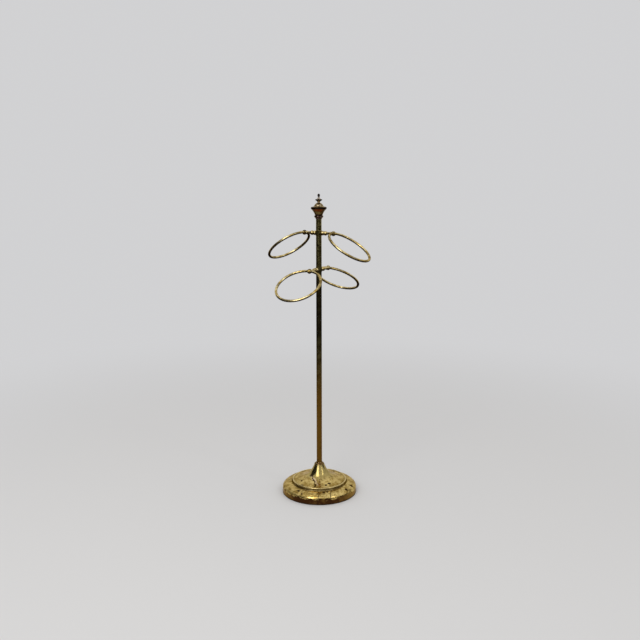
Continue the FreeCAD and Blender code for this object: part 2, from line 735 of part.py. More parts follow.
def finial_knob(s):
    """Turned knob: foot, hollow cone, disc, neck and ball, with a blind hole for the stud."""
    body = new_body("finial_knob")
    bore = s["stud_radius"] + s["stud_play"]
    revolve(
        body,
        "turning",
        (
            (bore, s["dome_top"]),
            (s["knob_foot"], s["dome_top"]),
            (s["knob_cone"], s["knob_cone_low"]),
            (s["disc_radius"], s["disc_low"], s["disc_hollow"]),
            (s["disc_radius"], s["disc_top"], -s["disc_round"]),
            (s["knob_neck"], s["knob_neck_low"], s["neck_hollow"]),
            (s["knob_neck"], s["knob_neck_top"]),
            (s["knob_ball"], s["stand_height"] - s["knob_ball"], -s["knob_swell"]),
            (0, s["stand_height"], -s["knob_ball"] * QUARTER_BULGE),
            (0, s["stud_top"] + s["stud_play"]),
            (bore, s["stud_top"] + s["stud_play"]),
        ),
    )


def build():
    s = fill_sheet()
    felt_pad(s)
    base_shell(s)
    base_weight(s)
    washer(s)
    nut(s, "base_nut", s["recess_top"] - s["washer_height"] - s["nut_height"])
    tie_rod(s)
    neck_collar(s)
    tube(s, "lower_tube", s["boss_top"], s["lower_height"] - s["hub_half"])
    tube(s, "middle_tube", s["lower_height"] + s["hub_half"], s["upper_height"] - s["hub_half"])
    tube(s, "upper_tube", s["upper_height"] + s["hub_half"], s["turned_low"])
    hub(s, "lower_hub", s["lower_height"], LOWER_TURN)
    hub(s, "upper_hub", s["upper_height"], 0)
    for arm_values in ARMS:
        arm_and_ring(s, *arm_values)
    finial_collar(s)
    finial_cup(s)
    nut(s, "cup_nut", s["cup_low"] + s["cup_floor"])
    finial_dome(s)
    finial_knob(s)
    doc.recompute()


def check():
    """Stops if an object failed or a sub-part is not one valid closed solid."""
    for item in doc.Objects:
        if "Invalid" in item.State or "Error" in item.State:
            raise RuntimeError(f"{item.Label} failed: {item.State}")
    for body in parts:
        shape = body.Shape
        if shape.isNull() or not shape.isValid() or len(shape.Solids) != 1:
            raise RuntimeError(f"{body.Label} is not one valid solid")


def export():
    os.makedirs("parts", exist_ok=True)
    for body in parts:
        body.Shape.exportStep(f"parts/{body.Label}.step")
        print(f"{body.Label:20s} {body.Shape.Volume / 1000:9.2f} cm3")


build()
check()
export()
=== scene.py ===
# Freestanding brass towel stand: finishes, studio light and the photograph's camera.
import json
import math

import bpy
from mathutils import Matrix, Vector


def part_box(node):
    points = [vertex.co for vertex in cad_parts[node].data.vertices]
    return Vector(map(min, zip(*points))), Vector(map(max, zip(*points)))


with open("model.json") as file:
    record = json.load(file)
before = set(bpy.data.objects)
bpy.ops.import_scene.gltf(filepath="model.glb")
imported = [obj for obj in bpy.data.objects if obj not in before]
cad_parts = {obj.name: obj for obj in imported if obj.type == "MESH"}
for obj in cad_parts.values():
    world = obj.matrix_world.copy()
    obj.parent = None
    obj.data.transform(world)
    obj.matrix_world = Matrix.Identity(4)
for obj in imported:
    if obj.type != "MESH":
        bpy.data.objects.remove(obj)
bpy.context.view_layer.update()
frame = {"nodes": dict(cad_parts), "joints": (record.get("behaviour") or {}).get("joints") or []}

# --- Camera, solved from the photograph -----------------------------------------------------------
CAMERA_PLACE = Vector((1.2647, -1.9532, 0.9838))
CAMERA_AZIMUTH = math.radians(32.85)  # 0 looks along +Y, and grows towards -X
CAMERA_PITCH = math.radians(10.79)  # below level
CAMERA_ROLL = math.radians(-0.13)
CAMERA_LENS = 44.52  # mm
CAMERA_SENSOR = 36.0  # mm
CAMERA_CLIP = (0.05, 200.0)


# Azimuths are degrees round the pole: 0 is towards the camera, and they grow to its left.
def heading_at(azimuth):
    """The level direction from the pole at azimuth."""
    turn = CAMERA_AZIMUTH - math.pi / 2 - math.radians(azimuth)
    return Vector((math.cos(turn), math.sin(turn), 0.0))


def azimuth_of(place):
    return math.degrees(CAMERA_AZIMUTH - math.pi / 2 - math.atan2(place.y, place.x))


# --- Places from the frame ------------------------------------------------------------------------
BASE_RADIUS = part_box("base_shell")[1].x
CUP_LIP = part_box("finial_cup")[1].z
KNOB_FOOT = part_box("finial_knob")[0].z
RING_JOINTS = {joint["child"]: Vector(joint["pos_m"]) for joint in frame["joints"]}
DARK_BALL = RING_JOINTS["upper_left_ring"]  # a ring turns about the centre of its arm's ball
BALL_REACH = math.hypot(DARK_BALL.x, DARK_BALL.y)

# --- Studio ---------------------------------------------------------------------------------------
FLOOR_RADIUS = 60.0
FLOOR_SIDES = 96
FLOOR_COLOUR = (0.67, 0.662, 0.65)
FLOOR_ROUGHNESS = 0.75
FLOOR_FADE = (0.6, 2.4)  # between these radii the floor turns into the backdrop
WORLD_LOW = (0.64, 0.64, 0.65)  # at the horizon
WORLD_HIGH = (0.80, 0.80, 0.81)  # overhead
WORLD_RISE = (0.35, 0.90)  # it goes from low to high between these sines of the elevation
CARD_RADIUS = 4.2  # the dark screens stand this far from the pole, behind and beside the camera
CARD_STEPS = 24
CARD_ROUGHNESS = 1.0
MAT_START = 1.25  # the dark mats lie on the floor from here to the screens
MAT_HEIGHT = 0.002
# Each screen: azimuths where it starts and ends, height, colour.
CARDS = {
    "left_card": (120, 50, 4.4, (0.012, 0.012, 0.012)),
    "right_card": (50, -104, 1.3, (0.085, 0.075, 0.06)),
}
LAMP_DISTANCE = 3.8
LAMP_AIM = Vector((0.0, 0.0, 0.45))
# Each lamp: azimuth, elevation in degrees, width and height, power in watts.
LAMPS = {
    "key": (28, 40, (1.6, 3.4), 48),
    "fill": (-50, 34, (0.4, 2.2), 9),
}

# --- Colours, linear ------------------------------------------------------------------------------
BASE_BRIGHT = (0.72, 0.545, 0.205)
BASE_DULL = (0.36, 0.235, 0.055)
NECK_BRASS = (0.40, 0.325, 0.125)
CREAM_BRASS = (0.84, 0.71, 0.38)
GOLD_BRASS = (0.50, 0.34, 0.085)
PINK_REFLECTION_BRASS = (0.80, 0.60, 0.40)
RING_STAIN_AND_SHADE = (0.026, 0.014, 0.004)
COLLAR_GOLD = (0.26, 0.175, 0.065)
COLLAR_BROWN = (0.12, 0.062, 0.020)
SIDE_GOLD = (0.30, 0.175, 0.040)
SIDE_BROWN = (0.060, 0.022, 0.007)
NEAR_BLACK = (0.012, 0.008, 0.005)
DARK_BROWN = (0.050, 0.026, 0.012)
POLE_LOW = (0.150, 0.073, 0.010)
POLE_HIGH = (0.36, 0.31, 0.12)
POLE_DULL = (0.10, 0.083, 0.026)
PLUM = (0.085, 0.055, 0.048)
CUP_BROWN = (0.050, 0.026, 0.009)
CUP_RED = (0.150, 0.036, 0.008)
CUP_OLIVE = (0.170, 0.115, 0.035)
DOME_BRONZE = (0.40, 0.33, 0.20)
DOME_BROWN = (0.19, 0.125, 0.055)
STEM_BROWN = (0.33, 0.25, 0.165)
KNOB_BRONZE = (0.58, 0.52, 0.45)
KNOB_BROWN = (0.24, 0.18, 0.12)
EDGE_GLOW = (0.90, 0.80, 0.62)  # what clean metal tends to at a glancing angle
EDGE_DULL = (0.22, 0.17, 0.11)  # what stained metal tends to there
FELT_GREEN = (0.03, 0.09, 0.045)
IRON_BLACK = (0.03, 0.03, 0.03)
ZINC_GREY = (0.56, 0.57, 0.58)

# --- Texture of the brass -------------------------------------------------------------------------
# Sizes and depths are metres. A share is of the size of the mottle, and levels are of the noise.
NOISE_WAY = (1.0, 0.7, -1.0)  # the shift of a noise moves it along this
FINE_SHARE = 0.28  # size of the finer patches
LARGE_WEIGHT, FINE_WEIGHT = 0.55, 0.45
TONE_LEVELS = (0.40, 0.60)
BLOTCH_SHARE = 0.9
BLOTCH_LEVELS = (0.58, 0.72)
BLOTCH_STAIN = 0.5
SPECK_SIZE = 0.0013
SPECK_LEVELS = (0.62, 0.76)
SPECK_STAIN = 0.55
ROUGH_LEVELS = (0.3, 0.7)
ROUGH_SPREAD = 0.09
STAIN_ROUGHNESS = 0.25  # what full stain adds
DENT_SHARE = 0.9
GRAIN_SIZE, GRAIN_DEPTH = 0.0015, 0.000006

# --- Texture of the plain materials ---------------------------------------------------------------
PLAIN_DARK = 0.72  # darker patches have this share of the colour
PLAIN_SIZE = 0.004
PLAIN_LEVELS = (0.35, 0.65)
PLAIN_SMOOTH = 0.8  # brighter patches have this share of the roughness
WEAVE_SIZE, WEAVE_DEPTH = 0.0008, 0.00005

# --- Marks ----------------------------------------------------------------------------------------
# Places are metres on the object. A fade is where a mark starts and where it is full. A band is
# where it is full from and to, and how softly it ends. A side is an azimuth, and the cosines of
# the angles away from it where a mark starts and where it is full. Levels are of the noise.
TARNISH_FADE = (0.0190, 0.0162)  # heights on the base's side
TARNISH_WAVE, TARNISH_SWING = 0.013, 0.030  # how its edge wanders up and down
TARNISH_REFLECTION_SIDE = (6, 0.35, 0.88)  # the tarnish is browner here, partly as painted reflection, and gold elsewhere
BROWN_SIZE = 0.016
BROWN_LEVELS = (0.46, 0.68)
BROWN_MOST, BROWN_LEAST = 0.99, 0.70
NECK_FADE = (0.050, 0.026)  # radii of the trumpet neck
NECK_STAIN = 0.35  # the share of the stain that is left on the neck
NECK_TINT = 0.7
ROLL_RADIUS, ROLL_HEIGHT = 0.0822, 0.0388  # where the rub on the stage's rolled edge ends
RIM_BAND = (ROLL_RADIUS - 0.0025, ROLL_RADIUS, 0.0010)
RIM_FADE = (ROLL_HEIGHT, ROLL_HEIGHT + 0.0008)
RIM_RUB = 0.8  # the share of the stain that is rubbed off
# The rubbed rolled edge is also lightened towards cream as painted highlight.
RIM_HIGHLIGHT_TINT = 0.6
GROOVE_BAND = (ROLL_RADIUS + 0.0003, ROLL_RADIUS + 0.0030, 0.0014)  # just outside the edge, darkened as painted shade
GROOVE_FADE = (ROLL_HEIGHT - 0.0004, ROLL_HEIGHT - 0.0016)
GROOVE_SHADE = 0.7
INNER_BAND = (ROLL_RADIUS - 0.0062, ROLL_RADIUS - 0.0040, 0.0016)  # just inside it, darkened as painted shade
INNER_SHADE = 0.2
FOOT_SHADE_FADE = (0.0042, 0.0016)  # heights of the painted shade at the foot
SHOULDER_BAND = (0.0170, 0.0310, 0.0020)  # heights
SHOULDER_SIDE = (58, 0.82, 0.96)  # the shoulder is rubbed to satin here
SHOULDER_ROUGHNESS = 0.28
PINK_REFLECTION_TINT = 0.85
SPOT_GRAIN = 0.45  # these four are shares of the spot's size
SPOT_RAGGED = 1.1
SPOT_START, SPOT_FULL = 0.10, -0.25
RUN_WAVE = 0.011
RUN_SWING = 5  # half widths
RUN_CORE = 0.2  # the share of the half width that is full
RUN_END = 0.003
# Dark spots on the base: azimuth, radius, size.
BASE_SPOTS = (
    (40.0, 0.0985, 0.0100),
    (-52.0, 0.1035, 0.0110),
    (-71.0, 0.1030, 0.0100),
    (30.0, 0.1060, 0.0065),
    (-8.0, 0.0930, 0.0080),
    (-15.0, 0.0900, 0.0065),
    (12.0, 0.0690, 0.0070),
    (-18.0, 0.0640, 0.0085),
    (-30.0, 0.0600, 0.0095),
    (44.0, 0.0760, 0.0090),
    (62.0, 0.0620, 0.0070),
    (-140.0, 0.0700, 0.0080),
)
STAGE_FOOT, BASE_EDGE = 0.085, BASE_RADIUS - 0.0003  # radii
# Thin runs on the base's top, the last a painted reflection: azimuth and radius where each starts
# and ends, half width.
BROWN_RUNS_AND_REFLECTION = (
    (2.7, STAGE_FOOT, 2.2, BASE_EDGE, 0.0017),
    (-24.0, STAGE_FOOT, -17.5, BASE_EDGE, 0.0019),
    (96.0, STAGE_FOOT, 101.0, BASE_EDGE, 0.0014),
    (-118.0, STAGE_FOOT, -121.0, BASE_EDGE, 0.0014),
    # a painted reflection of the neck's dark streak on the stage
    (55.0, 0.031, 9.0, 0.067, 0.0034),
)
# A painted reflection of the neck's bright streak on the stage.
PINK_REFLECTION_RUNS = ((44.0, 0.034, 3.0, 0.064, 0.0026),)

# Pole bands, partly tarnish and partly painted reflection: brown gold near the base, nearly black
# halfway, olive at the top.
POLE_BROWN_FADE = (0.53, 0.29)  # heights
POLE_OLIVE_FADE = (0.62, 0.87)
POLE_MIDDLE_DARKNESS = 0.92  # halfway up, partly tarnish and partly painted reflection

# Rings and arms: undersides darkened as painted reflection of a dark floor below them.
PAINTED_UNDERSIDE_FADE = (0.15, -0.35)  # upward part of the direction that the surface faces, where the painted reflection starts and is full
PAINTED_UNDERSIDE_DARKNESS = 0.97
LENGTH_SIZE = 0.026
LENGTH_PLACE = 12.3  # picks which lengths of the rings and arms are stained
LENGTH_LEVELS = (0.53, 0.60)
LENGTH_STAIN = 0.52
BALL_BAND = (BALL_REACH - 0.00585, BALL_REACH + 0.00765, 0.0012)
BALL_PATCH = 0.005
BALL_LEVELS = (0.42, 0.56)
BALL_LEAST, BALL_MOST = 0.15, 0.80
DARK_BALL_SIDE = (azimuth_of(DARK_BALL), 0.5, 0.8)
DARK_BALL_FADE = (DARK_BALL.z - 0.06, DARK_BALL.z - 0.04)  # leaves out the lower arms
DARK_BALL_STAIN = 0.9

# The cup's reddish and olive bands are painted reflection, on the camera's side.
CUP_REFLECTION_SIDE = (4, 0.68, 0.97)
CUP_WAVE, CUP_SWING = 0.006, 0.006
CUP_RED_BAND = (CUP_LIP - 0.0112, CUP_LIP - 0.0052, 0.002)  # heights, as all below are
CUP_OLIVE_BAND = (CUP_LIP - 0.0192, CUP_LIP - 0.0142, 0.002)
CUP_RIM_BAND = (CUP_LIP - 0.0050, CUP_LIP - 0.0007, 0.0010)
CUP_RIM_STAIN = 0.9
# The dome's top by the knob is lightened as painted highlight.
DOME_TOP_HIGHLIGHT_FADE = (KNOB_FOOT - 0.0018, KNOB_FOOT - 0.0006)
STEM_FADE = (KNOB_FOOT + 0.0055, KNOB_FOOT + 0.0040)
STEM_STAIN = 0.45
DISC_BAND = (KNOB_FOOT + 0.0055, KNOB_FOOT + 0.0098, 0.0006)
KNOB_BALL_FADE = (KNOB_FOOT + 0.0165, KNOB_FOOT + 0.0180)
KNOB_STAIN = 0.97

# A Mix node has the same socket names for each type of data, so its colour sockets go by number.
MIX_SHARE, MIX_FIRST, MIX_SECOND, MIX_RESULT = 0, 6, 7, 2


# --- Node helpers ---------------------------------------------------------------------------------
class Tree:
    """A material's nodes, each made by one call that returns its output socket."""

    def __init__(self, name):
        self.material = bpy.data.materials.new(name)
        self.material.use_nodes = True
        self.nodes = self.material.node_tree.nodes
        self.links = self.material.node_tree.links
        self.shader = self.nodes["Principled BSDF"]
        source = self.add("ShaderNodeTexCoord")
        self.place = source.outputs["Object"]
        split = self.add("ShaderNodeSeparateXYZ")
        self.feed(split.inputs[0], self.place)
        self.height = split.outputs["Z"]
        normal = self.add("ShaderNodeSeparateXYZ")
        self.feed(normal.inputs[0], source.outputs["Normal"])
        self.upward = normal.outputs["Z"]
        self.level = self.vector("MULTIPLY", self.place, (1.0, 1.0, 0.0))
        self.radius = self.vector("LENGTH", self.level)
        self.satin = 0.0  # added roughness, where a paint function asks for it

    def add(self, kind, **settings):
        node = self.nodes.new(kind)
        for setting, value in settings.items():
            setattr(node, setting, value)
        return node

    def feed(self, socket, value):
        if isinstance(value, bpy.types.NodeSocket):
            self.links.new(value, socket)
        elif isinstance(value, tuple) and socket.type == "RGBA":
            socket.default_value = (*value, 1.0)
        else:
            socket.default_value = value

    def math(self, operation, *values, clamp=False):
        node = self.add("ShaderNodeMath", operation=operation, use_clamp=clamp)
        for socket, value in zip(node.inputs, values):
            self.feed(socket, value)
        return node.outputs[0]

    def largest(self, *values):
        """The largest of several masks."""
        found = values[0]
        for value in values[1:]:
            found = self.math("MAXIMUM", found, value)
        return found

    def times(self, *values):
        found = values[0]
        for value in values[1:]:
            found = self.math("MULTIPLY", found, value)
        return found

    def rest_of(self, value):
        """What is left of 1."""
        return self.math("SUBTRACT", 1.0, value)

    def vector(self, operation, *values):
        node = self.add("ShaderNodeVectorMath", operation=operation)
        for socket, value in zip(node.inputs, values):
            self.feed(socket, value)
        gives_number = operation in ("DOT_PRODUCT", "LENGTH", "DISTANCE")
        return node.outputs["Value" if gives_number else "Vector"]

    def noise(self, size, detail=2.0, shift=0.0):
        """Soft noise from 0 to 1 whose patches are about size metres across."""
        node = self.add("ShaderNodeTexNoise")
        moved = self.vector("ADD", self.place, tuple(shift * part for part in NOISE_WAY))
        self.feed(node.inputs["Vector"], moved)
        node.inputs["Scale"].default_value = 1.0 / size
        node.inputs["Detail"].default_value = detail
        return node.outputs["Fac"]

    def swing(self, size, reach, detail=2.0, shift=0.0):
        """Noise about 0, which reaches half of reach either way at the most."""
        centred = self.math("SUBTRACT", self.noise(size, detail, shift), 0.5)
        return self.times(centred, reach)

    def ramp(self, value, low, high, to_low=0.0, to_high=1.0):
        """Goes smoothly from to_low to to_high as value goes from low to high."""
        node = self.add("ShaderNodeMapRange", interpolation_type="SMOOTHSTEP")
        names = ("Value", "From Min", "From Max", "To Min", "To Max")
        for name, given in zip(names, (value, low, high, to_low, to_high)):
            self.feed(node.inputs[name], given)
        return node.outputs["Result"]

    def band(self, value, low, high, soft):
        """1 between low and high, fading to 0 over soft on both sides."""
        return self.times(self.ramp(value, low - soft, low), self.ramp(value, high + soft, high))

    def mix(self, share, first, second):
        node = self.add("ShaderNodeMix", data_type="RGBA")
        self.feed(node.inputs[MIX_SHARE], share)
        self.feed(node.inputs[MIX_FIRST], first)
        self.feed(node.inputs[MIX_SECOND], second)
        return node.outputs[MIX_RESULT]

    def side(self, azimuth, start, full):
        """1 on the side of the pole at azimuth, and 0 farther round it than start."""
        outward = self.vector("NORMALIZE", self.level)
        cosine = self.vector("DOT_PRODUCT", outward, tuple(heading_at(azimuth)))
        return self.ramp(cosine, start, full)

    def spot(self, azimuth, radius, size):
        """One ragged spot on the base's top."""
        centre = tuple(heading_at(azimuth) * radius)
        grain = self.noise(size * SPOT_GRAIN, detail=4.0, shift=azimuth)
        ragged = self.times(grain, size * SPOT_RAGGED)
        away = self.math("SUBTRACT", self.vector("DISTANCE", self.level, centre), ragged)
        return self.ramp(away, size * SPOT_START, size * SPOT_FULL)

    def run(self, from_azimuth, from_radius, to_azimuth, to_radius, width):
        """A thin wavy line on the base's top, between two places."""
        start, end = heading_at(from_azimuth) * from_radius, heading_at(to_azimuth) * to_radius
        along = (end - start).normalized()
        across = Vector((-along.y, along.x, 0.0))
        wave = self.swing(RUN_WAVE, width * RUN_SWING, shift=from_azimuth)
        sideways = self.vector("DOT_PRODUCT", self.level, tuple(across))
        offset = self.math("SUBTRACT", sideways, across.dot(start))
        off_line = self.math("ABSOLUTE", self.math("ADD", offset, wave))
        ahead = self.vector("DOT_PRODUCT", self.level, tuple(along))
        length = self.band(ahead, along.dot(start), along.dot(end), RUN_END)
        return self.times(self.ramp(off_line, width, width * RUN_CORE), length)

    def bump(self, *layers):
        """Adds bumps from (height from 0 to 1, depth in metres) pairs."""
        normal = None
        for pattern, depth in layers:
            node = self.add("ShaderNodeBump")
            node.inputs["Distance"].default_value = depth
            self.feed(node.inputs["Height"], pattern)
            if normal:
                self.feed(node.inputs["Normal"], normal)
            normal = node.outputs["Normal"]
        self.feed(self.shader.inputs["Normal"], normal)


# --- Materials ------------------------------------------------------------------------------------
def aged_brass(name, bright, dull, stain_and_shade_colour, paint, mottle, gloss=0.13, dent=0.00001):
    """Old polished brass: two tones of metal, blotches and fine specks.

    paint(tree, colour, share) takes the share of stain, adds what belongs to one piece, painted
    light included, and returns the colour and the share of stain and painted shade.
    """
    tree = Tree(name)
    large = tree.noise(mottle)
    fine = tree.noise(mottle * FINE_SHARE, detail=3.0, shift=3.1)
    tone = tree.math("ADD", tree.times(large, LARGE_WEIGHT), tree.times(fine, FINE_WEIGHT))
    colour = tree.mix(tree.ramp(tone, *TONE_LEVELS), dull, bright)
    patches = tree.noise(mottle * BLOTCH_SHARE, detail=4.0, shift=7.7)
    blotch = tree.ramp(patches, *BLOTCH_LEVELS, to_high=BLOTCH_STAIN)
    dots = tree.noise(SPECK_SIZE, shift=1.3)
    specks = tree.ramp(dots, *SPECK_LEVELS, to_high=SPECK_STAIN)
    colour, stain_and_shade = paint(tree, colour, tree.largest(blotch, specks))
    # The stain colour also paints shade wherever a paint function adds painted shade to the share.
    tree.feed(tree.shader.inputs["Base Color"], tree.mix(stain_and_shade, colour, stain_and_shade_colour))
    clean_rough = tree.ramp(fine, *ROUGH_LEVELS, gloss, gloss + ROUGH_SPREAD)
    rough = tree.math("ADD", clean_rough, tree.times(stain_and_shade, STAIN_ROUGHNESS))
    tree.feed(tree.shader.inputs["Roughness"], tree.math("ADD", rough, tree.satin))
    tree.shader.inputs["Metallic"].default_value = 1.0
    tree.feed(tree.shader.inputs["Specular Tint"], tree.mix(stain_and_shade, EDGE_GLOW, EDGE_DULL))
    dents = tree.noise(mottle * DENT_SHARE, detail=1.0, shift=5.0)
    tree.bump((dents, dent), (tree.noise(GRAIN_SIZE), GRAIN_DEPTH))
    return tree.material


def plain_material(name, colour, roughness, metallic=0.0):
    tree = Tree(name)
    darker = tuple(part * PLAIN_DARK for part in colour)
    shade = tree.ramp(tree.noise(PLAIN_SIZE, detail=4.0), *PLAIN_LEVELS)
    tree.feed(tree.shader.inputs["Base Color"], tree.mix(shade, darker, colour))
    rough = tree.ramp(shade, 0.0, 1.0, roughness, roughness * PLAIN_SMOOTH)
    tree.feed(tree.shader.inputs["Roughness"], rough)
    tree.shader.inputs["Metallic"].default_value = metallic
    tree.bump((tree.noise(WEAVE_SIZE, detail=3.0), WEAVE_DEPTH))
    return tree.material


def base_patina_and_painted_light(tree, colour, stain_and_shade):
    """Tarnished side, browner on the camera's side as painted reflection, a clean neck, a rubbed
    rolled edge lightened as painted highlight, painted shade in the groove and at the foot, spots,
    and runs, two of them painted reflection.
    """
    neck = tree.ramp(tree.radius, *NECK_FADE)
    stain_and_shade = tree.times(stain_and_shade, tree.ramp(neck, 0.0, 1.0, 1.0, NECK_STAIN))
    colour = tree.mix(tree.times(neck, NECK_TINT), colour, NECK_BRASS)

    # Rolled edge: rubbed clean of stain, and lightened towards cream as painted highlight.
    rim = tree.times(tree.band(tree.radius, *RIM_BAND), tree.ramp(tree.height, *RIM_FADE))
    stain_and_shade = tree.times(stain_and_shade, tree.rest_of(tree.times(rim, RIM_RUB)))
    colour = tree.mix(tree.times(rim, RIM_HIGHLIGHT_TINT), colour, CREAM_BRASS)
    # A pale painted reflection of the neck's bright streak.
    for place in PINK_REFLECTION_RUNS:
        colour = tree.mix(tree.times(tree.run(*place), PINK_REFLECTION_TINT), colour, PINK_REFLECTION_BRASS)

    # Tarnish on the side wall, browner on the camera's side as painted reflection.
    edge = tree.swing(TARNISH_WAVE, TARNISH_SWING, detail=4.0, shift=2.0)
    tarnish = tree.ramp(tree.math("ADD", tree.height, edge), *TARNISH_FADE)
    clouds = tree.ramp(tree.noise(BROWN_SIZE, shift=6.0), *BROWN_LEVELS, BROWN_MOST, BROWN_LEAST)
    tarnish_and_reflection_brown = tree.times(tree.side(*TARNISH_REFLECTION_SIDE), clouds)
    colour = tree.mix(tarnish, colour, tree.mix(tarnish_and_reflection_brown, SIDE_GOLD, SIDE_BROWN))

    # Painted shade in the groove outside the rolled edge, just inside it, and at the foot by the
    # floor.
    groove = tree.times(tree.band(tree.radius, *GROOVE_BAND), tree.ramp(tree.height, *GROOVE_FADE))
    inner = tree.band(tree.radius, *INNER_BAND)
    foot = tree.ramp(tree.height, *FOOT_SHADE_FADE)
    marks = [tree.spot(*place) for place in BASE_SPOTS] + [tree.run(*place) for place in BROWN_RUNS_AND_REFLECTION]
    painted_shade = tree.largest(tree.times(groove, GROOVE_SHADE), tree.times(inner, INNER_SHADE), foot)

    shoulder = tree.times(tree.band(tree.height, *SHOULDER_BAND), tree.side(*SHOULDER_SIDE))
    tree.satin = tree.times(shoulder, SHOULDER_ROUGHNESS)
    return colour, tree.largest(stain_and_shade, painted_shade, *marks)


def pole_tarnish_and_reflection(tree, colour, stain_and_shade):
    """Brown gold near the base, almost black halfway, and olive at the top, partly tarnish and
    partly painted reflection.
    """
    # These bands are partly tarnish and partly painted reflection of the floor and a dark room.
    low = tree.ramp(tree.height, *POLE_BROWN_FADE)
    top = tree.ramp(tree.height, *POLE_OLIVE_FADE)
    colour = tree.mix(low, colour, POLE_LOW)
    middle = tree.rest_of(tree.math("ADD", low, top, clamp=True))
    return colour, tree.largest(stain_and_shade, tree.times(middle, POLE_MIDDLE_DARKNESS))


def ring_stain_and_painted_underside(tree, colour, stain_and_shade):
    """Undersides nearly black as painted reflection of a dark floor, and stained lengths."""
    # Painted reflection: the undersides are darkened for a dark floor mirrored in them.
    painted_underside = tree.ramp(tree.upward, *PAINTED_UNDERSIDE_FADE, to_high=PAINTED_UNDERSIDE_DARKNESS)
    patches = tree.noise(LENGTH_SIZE, detail=1.0, shift=LENGTH_PLACE)
    lengths = tree.ramp(patches, *LENGTH_LEVELS, to_high=LENGTH_STAIN)
    return colour, tree.largest(stain_and_shade, painted_underside, lengths)


def arm_stain_and_painted_underside(tree, colour, stain_and_shade):
    """Arms with undersides darkened as painted reflection, stained lengths, and dark balls, the
    upper left one nearly black.
    """
    colour, stain_and_shade = ring_stain_and_painted_underside(tree, colour, stain_and_shade)
    patches = tree.noise(BALL_PATCH, detail=1.0, shift=9.0)
    stained = tree.ramp(patches, *BALL_LEVELS, BALL_LEAST, BALL_MOST)
    dark = tree.times(tree.side(*DARK_BALL_SIDE), tree.ramp(tree.height, *DARK_BALL_FADE))
    stained = tree.largest(stained, tree.times(dark, DARK_BALL_STAIN))
    ball = tree.band(tree.radius, *BALL_BAND)
    return colour, tree.largest(stain_and_shade, tree.times(ball, stained))


def cup_stain_and_reflection(tree, colour, stain_and_shade):
    """Dark brown, with reddish and olive bands on the camera's side as painted reflection, and
    nearly black at the rim's edge.
    """
    level = tree.math("ADD", tree.height, tree.swing(CUP_WAVE, CUP_SWING))
    front = tree.side(*CUP_REFLECTION_SIDE)
    colour = tree.mix(tree.times(front, tree.band(level, *CUP_RED_BAND)), colour, CUP_RED)
    colour = tree.mix(tree.times(front, tree.band(level, *CUP_OLIVE_BAND)), colour, CUP_OLIVE)
    rim = tree.band(tree.height, *CUP_RIM_BAND)
    return colour, tree.largest(stain_and_shade, tree.times(rim, CUP_RIM_STAIN))


def dome_top_highlight(tree, colour, stain_and_shade):
    """A top lightened to cream and cleared of stain where the knob stands, as painted highlight."""
    lightened_top = tree.ramp(tree.height, *DOME_TOP_HIGHLIGHT_FADE)
    return tree.mix(lightened_top, colour, CREAM_BRASS), tree.times(stain_and_shade, tree.rest_of(lightened_top))


def knob_patina(tree, colour, stain_and_shade):
    """Nearly black ball and disc, a grey neck between them and a stained brown stem."""
    stem = tree.ramp(tree.height, *STEM_FADE)
    colour = tree.mix(stem, colour, STEM_BROWN)
    ball = tree.ramp(tree.height, *KNOB_BALL_FADE)
    disc = tree.band(tree.height, *DISC_BAND)
    black = tree.times(tree.largest(ball, disc), KNOB_STAIN)
    return colour, tree.largest(stain_and_shade, black, tree.times(stem, STEM_STAIN))


def no_patina(tree, colour, stain_and_shade):
    return colour, stain_and_shade


# --- Studio set -----------------------------------------------------------------------------------
def add_camera():
    data = bpy.data.cameras.new("camera")
    data.lens = CAMERA_LENS
    data.sensor_width = CAMERA_SENSOR
    data.clip_start, data.clip_end = CAMERA_CLIP
    camera = bpy.data.objects.new("camera", data)
    tip = Matrix.Rotation(math.pi / 2 - CAMERA_PITCH, 4, "X")
    turn = Matrix.Rotation(CAMERA_AZIMUTH, 4, "Z") @ tip
    roll = Matrix.Rotation(CAMERA_ROLL, 4, "Z")
    camera.matrix_world = Matrix.Translation(CAMERA_PLACE) @ turn @ roll
    bpy.context.collection.objects.link(camera)
    bpy.context.scene.camera = camera


def new_stage(name, points, faces, colour, roughness):
    mesh = bpy.data.meshes.new(name)
    mesh.from_pydata(points, [], faces)
    made = bpy.data.objects.new(name, mesh)
    bpy.context.collection.objects.link(made)
    material = bpy.data.materials.new(name)
    material.use_nodes = True
    shader = material.node_tree.nodes["Principled BSDF"]
    shader.inputs["Base Color"].default_value = (*colour, 1.0)
    shader.inputs["Roughness"].default_value = roughness
    made.data.materials.append(material)
    return made


